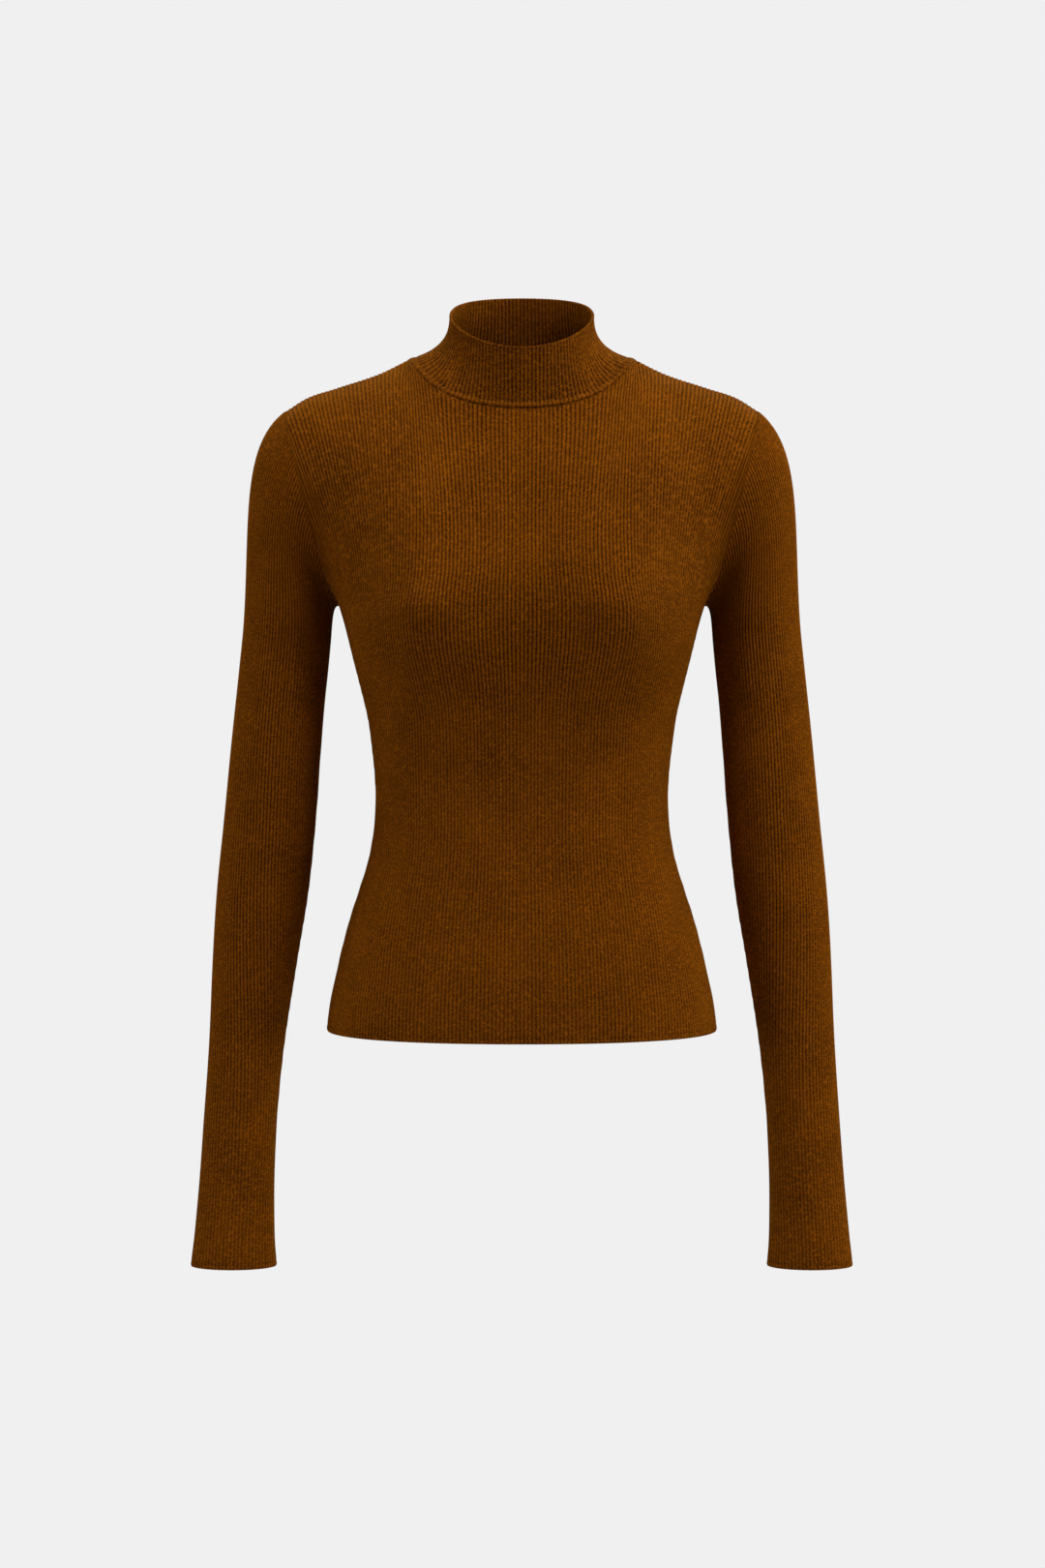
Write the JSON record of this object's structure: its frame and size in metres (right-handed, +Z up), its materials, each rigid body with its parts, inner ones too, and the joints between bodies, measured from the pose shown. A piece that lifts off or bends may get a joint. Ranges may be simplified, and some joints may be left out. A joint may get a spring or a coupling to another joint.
{
  "type": "mock neck knit top",
  "caption": "Fitted fine-rib knit top with a short stand collar, long set-in sleeves with flared plain cuffs and a plain hem, filled out as worn.",
  "frame": {"origin": "middle of the neck, level with the tops of the shoulders, where the shoulders carry the garment", "axes": "+Z up through the neck, +Y towards the wearer's back, so the front faces -Y, and +X towards the wearer's left"},
  "size_m": [0.479, 0.2087, 0.7011],
  "materials": {
    "rib_knit": "matte"
  },
  "bodies": {
    "root": {"front_panel": "rib_knit", "back_panel": "rib_knit", "sleeve_left": "rib_knit", "sleeve_right": "rib_knit", "mock_neck": "rib_knit"}
  },
  "joints": []
}
